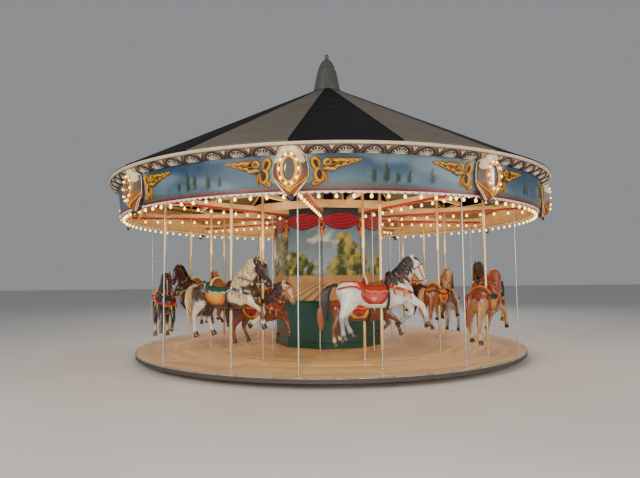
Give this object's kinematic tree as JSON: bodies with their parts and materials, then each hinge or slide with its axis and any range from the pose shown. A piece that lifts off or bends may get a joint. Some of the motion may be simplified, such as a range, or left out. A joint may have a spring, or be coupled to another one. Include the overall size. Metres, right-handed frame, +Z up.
{
  "type": "fairground carousel",
  "caption": "Round fairground carousel: galloping horses on poles between a turning deck and overhead sweeps, under a conical canvas top with lit rounding boards.",
  "frame": {"origin": "on the ground, on the axis of the centre pole", "axes": "+Z up along the centre pole; -Y towards the side that the picture shows; +X to the right from there"},
  "size_m": [8.9612, 8.9612, 6.54],
  "materials": {
    "black_iron": "satin black paint",
    "bright_steel": "bright drawn rod",
    "deck_planks": "worn varnish",
    "green_paint": "satin",
    "drum_paint": "satin painted panels",
    "red_cloth": "pleated heavy cloth",
    "tan_timber": "clear varnish with red paint below",
    "cream_paint": "satin",
    "canopy_canvas": "coated canvas",
    "grey_metal": "matt",
    "board_paint": "satin painted panels",
    "shield_paint": "gloss paint and gold",
    "horse_paint": "gloss paint",
    "brass": "polished, lightly worn",
    "gold_leaf": "gold paint over carving",
    "bulb_glass": "warm white bulb",
    "white_paint": "gloss",
    "red_paint": "gloss",
    "dark_paint": "satin",
    "mirror_glass": "aged mirror",
    "tack_leather": "painted tack",
    "tassel_cloth": "gold and orange fringe"
  },
  "bodies": {
    "base": {"base_frame": "black_iron", "centre_pole": "black_iron"},
    "turntable": {"platform_frame": "bright_steel", "deck": "deck_planks", "wainscot": "green_paint", "picture_drum": "drum_paint", "swag_valance": "red_cloth", "sweeps": "tan_timber", "ring_beam_inner": "tan_timber", "ring_beam_outer": "tan_timber", "pole_rails": "tan_timber", "rafters": "tan_timber", "cornice": "cream_paint", "canopy": "canopy_canvas", "pinnacle": "grey_metal", "rounding_board_1": "board_paint", "rounding_board_2": "board_paint", "rounding_board_3": "board_paint", "rounding_board_4": "board_paint", "rounding_board_5": "board_paint", "rounding_board_6": "board_paint", "rounding_board_7": "board_paint", "rounding_board_8": "board_paint", "rounding_board_9": "board_paint", "shield_1": "shield_paint", "shield_2": "shield_paint", "shield_3": "shield_paint", "shield_4": "shield_paint", "shield_5": "shield_paint", "shield_6": "shield_paint", "shield_7": "shield_paint", "shield_8": "shield_paint", "shield_9": "shield_paint"},
    "horse_outer_1": {"horse_outer_1": "horse_paint"},
    "horse_outer_2": {"horse_outer_2": "horse_paint"},
    "horse_outer_3": {"horse_outer_3": "horse_paint"},
    "horse_outer_4": {"horse_outer_4": "horse_paint"},
    "horse_outer_5": {"horse_outer_5": "horse_paint"},
    "horse_outer_6": {"horse_outer_6": "horse_paint"},
    "horse_outer_7": {"horse_outer_7": "horse_paint"},
    "horse_outer_8": {"horse_outer_8": "horse_paint"},
    "horse_outer_9": {"horse_outer_9": "horse_paint"},
    "horse_inner_1": {"horse_inner_1": "horse_paint"},
    "horse_inner_2": {"horse_inner_2": "horse_paint"},
    "horse_inner_3": {"horse_inner_3": "horse_paint"},
    "horse_inner_4": {"horse_inner_4": "horse_paint"},
    "horse_inner_5": {"horse_inner_5": "horse_paint"},
    "horse_inner_6": {"horse_inner_6": "horse_paint"},
    "horse_inner_7": {"horse_inner_7": "horse_paint"},
    "horse_inner_8": {"horse_inner_8": "horse_paint"},
    "horse_inner_9": {"horse_inner_9": "horse_paint"}
  },
  "joints": [
    {"name": "turning", "type": "hinge", "parent": "base", "child": "turntable", "pos_m": [0, 0, 0], "axis": [0, 0, 1], "continuous": true},
    {"name": "outer_1_gallop", "type": "slide", "parent": "turntable", "child": "horse_outer_1", "axis": [0, 0, 1], "range_m": [-0.26, 0.06]},
    {"name": "outer_2_gallop", "type": "slide", "parent": "turntable", "child": "horse_outer_2", "axis": [0, 0, 1], "range_m": [-0.06, 0.26]},
    {"name": "outer_3_gallop", "type": "slide", "parent": "turntable", "child": "horse_outer_3", "axis": [0, 0, 1], "range_m": [-0.26, 0.06]},
    {"name": "outer_4_gallop", "type": "slide", "parent": "turntable", "child": "horse_outer_4", "axis": [0, 0, 1], "range_m": [-0.06, 0.26]},
    {"name": "outer_5_gallop", "type": "slide", "parent": "turntable", "child": "horse_outer_5", "axis": [0, 0, 1], "range_m": [-0.26, 0.06]},
    {"name": "outer_6_gallop", "type": "slide", "parent": "turntable", "child": "horse_outer_6", "axis": [0, 0, 1], "range_m": [-0.06, 0.26]},
    {"name": "outer_7_gallop", "type": "slide", "parent": "turntable", "child": "horse_outer_7", "axis": [0, 0, 1], "range_m": [-0.26, 0.06]},
    {"name": "outer_8_gallop", "type": "slide", "parent": "turntable", "child": "horse_outer_8", "axis": [0, 0, 1], "range_m": [-0.06, 0.26]},
    {"name": "outer_9_gallop", "type": "slide", "parent": "turntable", "child": "horse_outer_9", "axis": [0, 0, 1], "range_m": [-0.26, 0.06]},
    {"name": "inner_1_gallop", "type": "slide", "parent": "turntable", "child": "horse_inner_1", "axis": [0, 0, 1], "range_m": [-0.06, 0.26]},
    {"name": "inner_2_gallop", "type": "slide", "parent": "turntable", "child": "horse_inner_2", "axis": [0, 0, 1], "range_m": [-0.26, 0.06]},
    {"name": "inner_3_gallop", "type": "slide", "parent": "turntable", "child": "horse_inner_3", "axis": [0, 0, 1], "range_m": [-0.06, 0.26]},
    {"name": "inner_4_gallop", "type": "slide", "parent": "turntable", "child": "horse_inner_4", "axis": [0, 0, 1], "range_m": [-0.26, 0.06]},
    {"name": "inner_5_gallop", "type": "slide", "parent": "turntable", "child": "horse_inner_5", "axis": [0, 0, 1], "range_m": [-0.06, 0.26]},
    {"name": "inner_6_gallop", "type": "slide", "parent": "turntable", "child": "horse_inner_6", "axis": [0, 0, 1], "range_m": [-0.26, 0.06]},
    {"name": "inner_7_gallop", "type": "slide", "parent": "turntable", "child": "horse_inner_7", "axis": [0, 0, 1], "range_m": [-0.06, 0.26]},
    {"name": "inner_8_gallop", "type": "slide", "parent": "turntable", "child": "horse_inner_8", "axis": [0, 0, 1], "range_m": [-0.26, 0.06]},
    {"name": "inner_9_gallop", "type": "slide", "parent": "turntable", "child": "horse_inner_9", "axis": [0, 0, 1], "range_m": [-0.06, 0.26]}
  ],
  "couplings": [
    {"joint": "outer_2_gallop", "follows": "outer_1_gallop", "ratio": -1},
    {"joint": "outer_3_gallop", "follows": "outer_1_gallop", "ratio": 1},
    {"joint": "outer_4_gallop", "follows": "outer_1_gallop", "ratio": -1},
    {"joint": "outer_5_gallop", "follows": "outer_1_gallop", "ratio": 1},
    {"joint": "outer_6_gallop", "follows": "outer_1_gallop", "ratio": -1},
    {"joint": "outer_7_gallop", "follows": "outer_1_gallop", "ratio": 1},
    {"joint": "outer_8_gallop", "follows": "outer_1_gallop", "ratio": -1},
    {"joint": "outer_9_gallop", "follows": "outer_1_gallop", "ratio": 1},
    {"joint": "inner_1_gallop", "follows": "outer_1_gallop", "ratio": -1},
    {"joint": "inner_2_gallop", "follows": "outer_1_gallop", "ratio": 1},
    {"joint": "inner_3_gallop", "follows": "outer_1_gallop", "ratio": -1},
    {"joint": "inner_4_gallop", "follows": "outer_1_gallop", "ratio": 1},
    {"joint": "inner_5_gallop", "follows": "outer_1_gallop", "ratio": -1},
    {"joint": "inner_6_gallop", "follows": "outer_1_gallop", "ratio": 1},
    {"joint": "inner_7_gallop", "follows": "outer_1_gallop", "ratio": -1},
    {"joint": "inner_8_gallop", "follows": "outer_1_gallop", "ratio": 1},
    {"joint": "inner_9_gallop", "follows": "outer_1_gallop", "ratio": -1}
  ]
}
